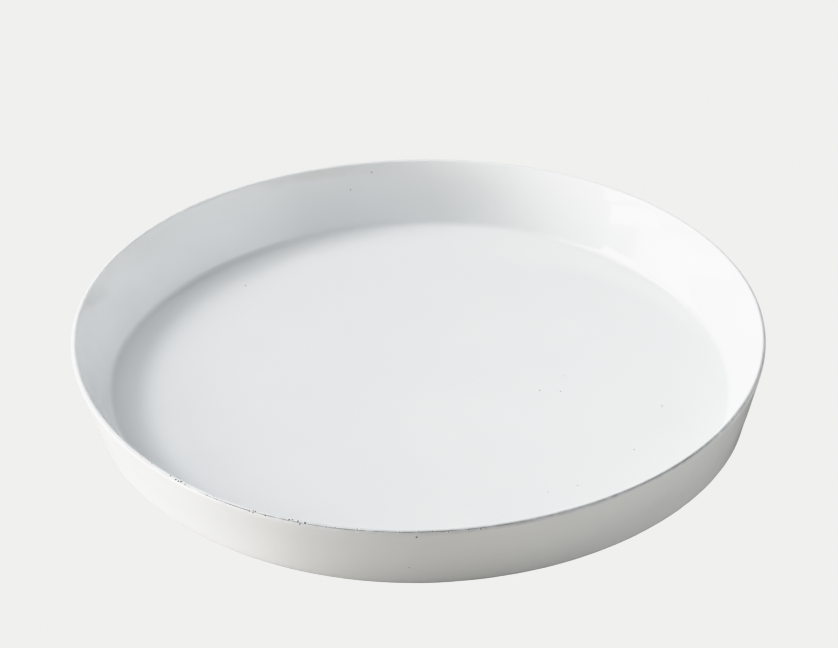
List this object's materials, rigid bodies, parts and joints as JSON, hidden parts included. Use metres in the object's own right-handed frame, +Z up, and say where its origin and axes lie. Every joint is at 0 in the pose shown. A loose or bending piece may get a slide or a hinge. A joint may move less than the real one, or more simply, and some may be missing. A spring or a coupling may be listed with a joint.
{
  "type": "serving platter",
  "caption": "Large round hand-formed platter: flat floor, low flared wall, thin uneven lip, milky white glossy glaze over dark clay, bare foot ring.",
  "frame": {"origin": "centre of the plane that the foot ring rests on", "axes": "+Z up, out of the platter's well; the platter is nearly round, so +X and +Y are two level directions with no feature of their own"},
  "size_m": [0.3681, 0.3727, 0.0425],
  "materials": {
    "dark_clay": "matte",
    "white_glaze": "polished"
  },
  "bodies": {
    "root": {"base_slab": "dark_clay", "foot_ring": "dark_clay", "wall_strip": "dark_clay", "corner_coil": "dark_clay", "inner_glaze": "white_glaze", "outer_glaze": "white_glaze", "underside_glaze": "white_glaze"}
  },
  "joints": []
}
